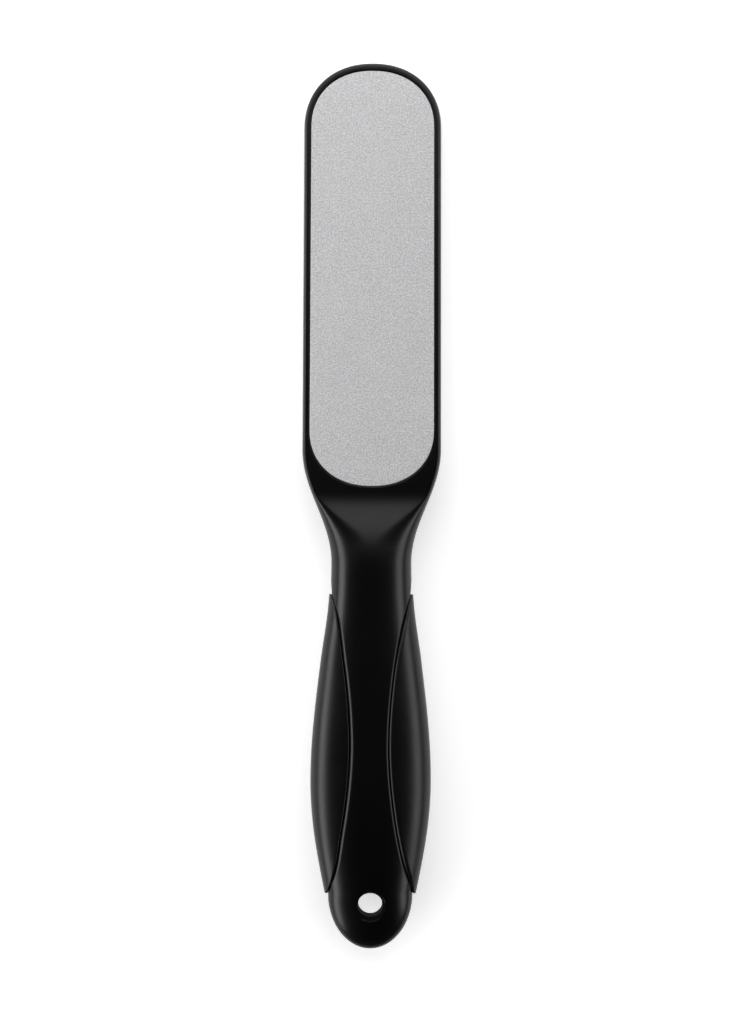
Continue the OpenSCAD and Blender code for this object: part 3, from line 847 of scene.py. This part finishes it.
grit = {
    "front_plate": {"side": 1, "grainSize": 0.5, "perSquareMm": 3.6, "seed": 3, "finish": fineFinish},
    "rear_plate": {"side": -1, "grainSize": 0.75, "perSquareMm": 1.7, "seed": 8, "finish": coarseFinish},
}
gritNodes = gritTree()
plates = {}
for name, kind in grit.items():
    blank = plateBlank(name + "_blank", kind["side"])
    runTree(blank, gritNodes, {"Grain Size": kind["grainSize"] * mm,
                               "Grains per Area": kind["perSquareMm"] / mm ** 2,
                               "Side": kind["side"], "Seed": kind["seed"], "Finish": kind["finish"]})
    plates[name] = finished(blank, name + "_grit", creaseAngle=20)
    print(name, "coated:", len(plates[name].data.polygons), "faces")

for name, piece in {**shells, **grips, **plates}.items():
    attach(piece, "root")
    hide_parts(name)
for name in ["front_adhesive", "rear_adhesive"]:
    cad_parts[name].data.materials.clear()
    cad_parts[name].data.materials.append(filmFinish)


# Floor, light and camera

room = {
    "floorSize": 4000,
    "contact": [[-79.1, -7.87], [124.9, -3.75]],   # y and z where the tool touches: belly and tip
    "floorColour": "#f9f9f9",
    "worldStrength": 0.01,
    "glow": 0.41,             # keeps the sweep white where the lamps leave it a little grey
}
camera = {
    "distance": 560,
    "mmPerPixel": 0.2886,
    "imageSize": [739, 1024],
    "middlePixel": [371.5, 506.6],     # where the middle of the tool falls in the photograph
    "lean": 0.195,                     # degrees that the tool's head leans to the right
    "sensor": 36,
    "clip": [0.01, 20],                # in metres
}


def floorPlane():
    (y0, z0), (y1, z1) = room["contact"]
    slope = (z1 - z0) / (y1 - y0)
    half = room["floorSize"] / 2
    corners = [(-half, -half), (half, -half), (half, half), (-half, half)]
    points = [[x, y, z0 + (y - y0) * slope] for x, y in corners]
    floor = meshPiece("floor", points, [[0, 1, 2, 3]])
    material, tree, shader = newMaterial("white sweep")
    shader.inputs["Base Color"].default_value = linear(room["floorColour"])
    shader.inputs["Roughness"].default_value = 0.9
    shader.inputs["Specular IOR Level"].default_value = 0.0
    paths = addNode(tree, "ShaderNodeLightPath").outputs
    seen = paths["Is Camera Ray"]
    for kind in ("Is Glossy Ray", "Is Transmission Ray"):
        seen = addNode(tree, "ShaderNodeMath", {0: seen, 1: paths[kind]}, operation="ADD")
    seen = addNode(tree, "ShaderNodeMath", {0: seen, 1: 1.0}, operation="MINIMUM")
    glow = addNode(tree, "ShaderNodeMath", {0: seen, 1: room["glow"]}, operation="MULTIPLY")
    shader.inputs["Emission Color"].default_value = (1, 1, 1, 1)
    tree.links.new(glow.outputs[0], shader.inputs["Emission Strength"])
    floor.data.materials.append(material)


# azimuth 0 is the head's side and 90 the right; every box faces the tool's middle
lamps = {
    "left box": {"azimuth": -98, "elevation": 23, "distance": 900, "width": 1600, "height": 320,
                 "power": 8.4},
    "right box": {"azimuth": 90, "elevation": 28, "distance": 900, "width": 1300, "height": 320,
                  "power": 4.4},
    "head box": {"azimuth": 0, "elevation": 46, "distance": 900, "width": 1700, "height": 760,
                 "power": 7.2},
    "head strip": {"azimuth": 0, "elevation": 26, "distance": 1000, "width": 1000, "height": 180,
                   "power": 2.3},
}


def softBox(name, azimuth, elevation, distance, width, height, power):
    lamp = bpy.data.lights.new(name, "AREA")
    lamp.shape = "RECTANGLE"
    lamp.size, lamp.size_y = width * mm, height * mm
    lamp.energy = power
    box = bpy.data.objects.new(name, lamp)
    flat = distance * cosDeg(elevation) * mm
    box.location = (flat * sinDeg(azimuth), flat * cosDeg(azimuth), distance * sinDeg(elevation) * mm)
    box.rotation_euler = (-box.location).to_track_quat("-Z", "Y").to_euler()
    bpy.context.scene.collection.objects.link(box)


floorPlane()
for name, box in lamps.items():
    softBox(name, **box)

world = bpy.data.worlds.new("studio")
bpy.context.scene.world = world
world.use_nodes = True
world.node_tree.nodes["Background"].inputs["Color"].default_value = (1, 1, 1, 1)
world.node_tree.nodes["Background"].inputs["Strength"].default_value = room["worldStrength"]


def photoCamera():
    data = bpy.data.cameras.new("camera")
    eye = bpy.data.objects.new("camera", data)
    tall = camera["imageSize"][1] * camera["mmPerPixel"]
    data.sensor_width = camera["sensor"]
    data.lens = camera["sensor"] * camera["distance"] / tall
    data.clip_start, data.clip_end = camera["clip"]
    offset = [camera["imageSize"][i] / 2 - camera["middlePixel"][i] for i in (0, 1)]
    eye.location = (offset[0] * camera["mmPerPixel"] * mm, -offset[1] * camera["mmPerPixel"] * mm,
                    camera["distance"] * mm)
    eye.rotation_euler = (0, 0, math.radians(camera["lean"]))
    bpy.context.scene.collection.objects.link(eye)
    bpy.context.scene.camera = eye


photoCamera()
bpy.context.scene.view_settings.view_transform = "Standard"
print("room, lamps and camera set")
